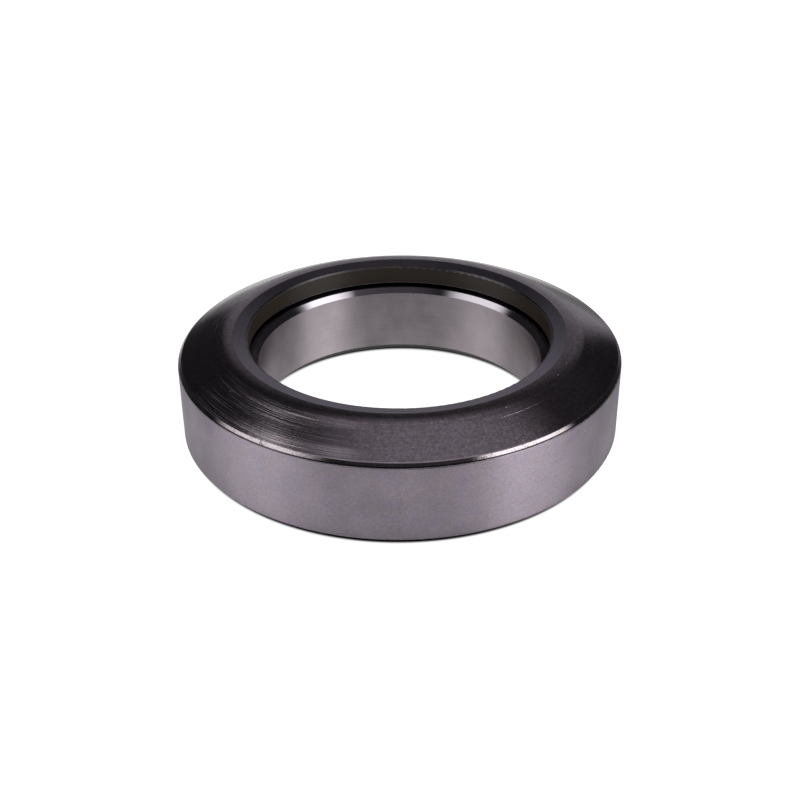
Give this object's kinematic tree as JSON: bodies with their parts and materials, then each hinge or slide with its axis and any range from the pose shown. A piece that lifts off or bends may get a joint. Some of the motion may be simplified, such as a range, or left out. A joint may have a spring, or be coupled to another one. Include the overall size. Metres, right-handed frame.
{
  "type": "clutch release bearing",
  "caption": "Sealed angular-contact ball bearing with a crowned thrust face and a plain bore, which presses on a clutch's levers and lets them spin.",
  "frame": {"origin": "on the bearing's axis, in the plane of the inner ring's back face", "axes": "+Z along the bearing's axis, towards the crowned thrust face; X passes through a ball"},
  "size_m": [0.109, 0.109, 0.0258],
  "materials": {
    "outer_steel": "ground and turned",
    "inner_steel": "ground",
    "ball_steel": "polished",
    "cage_polyamide": "moulded",
    "seal_rubber": "moulded"
  },
  "bodies": {
    "inner": {"inner_ring": "inner_steel"},
    "outer": {"outer_ring": "outer_steel", "front_seal": "seal_rubber", "rear_seal": "seal_rubber"},
    "cage": {"cage": "cage_polyamide"},
    "ball_01": {"ball_01": "ball_steel"},
    "ball_02": {"ball_02": "ball_steel"},
    "ball_03": {"ball_03": "ball_steel"},
    "ball_04": {"ball_04": "ball_steel"},
    "ball_05": {"ball_05": "ball_steel"},
    "ball_06": {"ball_06": "ball_steel"},
    "ball_07": {"ball_07": "ball_steel"},
    "ball_08": {"ball_08": "ball_steel"},
    "ball_09": {"ball_09": "ball_steel"},
    "ball_10": {"ball_10": "ball_steel"},
    "ball_11": {"ball_11": "ball_steel"},
    "ball_12": {"ball_12": "ball_steel"},
    "ball_13": {"ball_13": "ball_steel"},
    "ball_14": {"ball_14": "ball_steel"},
    "ball_15": {"ball_15": "ball_steel"},
    "ball_16": {"ball_16": "ball_steel"},
    "ball_17": {"ball_17": "ball_steel"},
    "ball_18": {"ball_18": "ball_steel"}
  },
  "joints": [
    {"name": "outer_ring_spin", "type": "hinge", "parent": "inner", "child": "outer", "pos_m": [0, 0, 0.01082], "axis": [0, 0, 1], "continuous": true},
    {"name": "cage_orbit", "type": "hinge", "parent": "inner", "child": "cage", "pos_m": [0, 0, 0.01082], "axis": [0, 0, 1], "continuous": true},
    {"name": "ball_01_spin", "type": "hinge", "parent": "cage", "child": "ball_01", "pos_m": [0.04475, 0, 0.01082], "axis": [-0.6428, 0, 0.766], "continuous": true},
    {"name": "ball_02_spin", "type": "hinge", "parent": "cage", "child": "ball_02", "pos_m": [0.04205, 0.01531, 0.01082], "axis": [-0.604, -0.2198, 0.766], "continuous": true},
    {"name": "ball_03_spin", "type": "hinge", "parent": "cage", "child": "ball_03", "pos_m": [0.03428, 0.02876, 0.01082], "axis": [-0.4924, -0.4132, 0.766], "continuous": true},
    {"name": "ball_04_spin", "type": "hinge", "parent": "cage", "child": "ball_04", "pos_m": [0.02237, 0.03875, 0.01082], "axis": [-0.3214, -0.5567, 0.766], "continuous": true},
    {"name": "ball_05_spin", "type": "hinge", "parent": "cage", "child": "ball_05", "pos_m": [0.00777, 0.04407, 0.01082], "axis": [-0.1116, -0.633, 0.766], "continuous": true},
    {"name": "ball_06_spin", "type": "hinge", "parent": "cage", "child": "ball_06", "pos_m": [-0.00777, 0.04407, 0.01082], "axis": [0.1116, -0.633, 0.766], "continuous": true},
    {"name": "ball_07_spin", "type": "hinge", "parent": "cage", "child": "ball_07", "pos_m": [-0.02237, 0.03875, 0.01082], "axis": [0.3214, -0.5567, 0.766], "continuous": true},
    {"name": "ball_08_spin", "type": "hinge", "parent": "cage", "child": "ball_08", "pos_m": [-0.03428, 0.02876, 0.01082], "axis": [0.4924, -0.4132, 0.766], "continuous": true},
    {"name": "ball_09_spin", "type": "hinge", "parent": "cage", "child": "ball_09", "pos_m": [-0.04205, 0.01531, 0.01082], "axis": [0.604, -0.2198, 0.766], "continuous": true},
    {"name": "ball_10_spin", "type": "hinge", "parent": "cage", "child": "ball_10", "pos_m": [-0.04475, 0, 0.01082], "axis": [0.6428, 0, 0.766], "continuous": true},
    {"name": "ball_11_spin", "type": "hinge", "parent": "cage", "child": "ball_11", "pos_m": [-0.04205, -0.01531, 0.01082], "axis": [0.604, 0.2198, 0.766], "continuous": true},
    {"name": "ball_12_spin", "type": "hinge", "parent": "cage", "child": "ball_12", "pos_m": [-0.03428, -0.02876, 0.01082], "axis": [0.4924, 0.4132, 0.766], "continuous": true},
    {"name": "ball_13_spin", "type": "hinge", "parent": "cage", "child": "ball_13", "pos_m": [-0.02237, -0.03875, 0.01082], "axis": [0.3214, 0.5567, 0.766], "continuous": true},
    {"name": "ball_14_spin", "type": "hinge", "parent": "cage", "child": "ball_14", "pos_m": [-0.00777, -0.04407, 0.01082], "axis": [0.1116, 0.633, 0.766], "continuous": true},
    {"name": "ball_15_spin", "type": "hinge", "parent": "cage", "child": "ball_15", "pos_m": [0.00777, -0.04407, 0.01082], "axis": [-0.1116, 0.633, 0.766], "continuous": true},
    {"name": "ball_16_spin", "type": "hinge", "parent": "cage", "child": "ball_16", "pos_m": [0.02237, -0.03875, 0.01082], "axis": [-0.3214, 0.5567, 0.766], "continuous": true},
    {"name": "ball_17_spin", "type": "hinge", "parent": "cage", "child": "ball_17", "pos_m": [0.03428, -0.02876, 0.01082], "axis": [-0.4924, 0.4132, 0.766], "continuous": true},
    {"name": "ball_18_spin", "type": "hinge", "parent": "cage", "child": "ball_18", "pos_m": [0.04205, -0.01531, 0.01082], "axis": [-0.604, 0.2198, 0.766], "continuous": true}
  ],
  "couplings": [
    {"joint": "cage_orbit", "follows": "outer_ring_spin", "ratio": 0.54757},
    {"joint": "ball_01_spin", "follows": "outer_ring_spin", "ratio": 3.9897},
    {"joint": "ball_02_spin", "follows": "outer_ring_spin", "ratio": 3.9897},
    {"joint": "ball_03_spin", "follows": "outer_ring_spin", "ratio": 3.9897},
    {"joint": "ball_04_spin", "follows": "outer_ring_spin", "ratio": 3.9897},
    {"joint": "ball_05_spin", "follows": "outer_ring_spin", "ratio": 3.9897},
    {"joint": "ball_06_spin", "follows": "outer_ring_spin", "ratio": 3.9897},
    {"joint": "ball_07_spin", "follows": "outer_ring_spin", "ratio": 3.9897},
    {"joint": "ball_08_spin", "follows": "outer_ring_spin", "ratio": 3.9897},
    {"joint": "ball_09_spin", "follows": "outer_ring_spin", "ratio": 3.9897},
    {"joint": "ball_10_spin", "follows": "outer_ring_spin", "ratio": 3.9897},
    {"joint": "ball_11_spin", "follows": "outer_ring_spin", "ratio": 3.9897},
    {"joint": "ball_12_spin", "follows": "outer_ring_spin", "ratio": 3.9897},
    {"joint": "ball_13_spin", "follows": "outer_ring_spin", "ratio": 3.9897},
    {"joint": "ball_14_spin", "follows": "outer_ring_spin", "ratio": 3.9897},
    {"joint": "ball_15_spin", "follows": "outer_ring_spin", "ratio": 3.9897},
    {"joint": "ball_16_spin", "follows": "outer_ring_spin", "ratio": 3.9897},
    {"joint": "ball_17_spin", "follows": "outer_ring_spin", "ratio": 3.9897},
    {"joint": "ball_18_spin", "follows": "outer_ring_spin", "ratio": 3.9897}
  ]
}
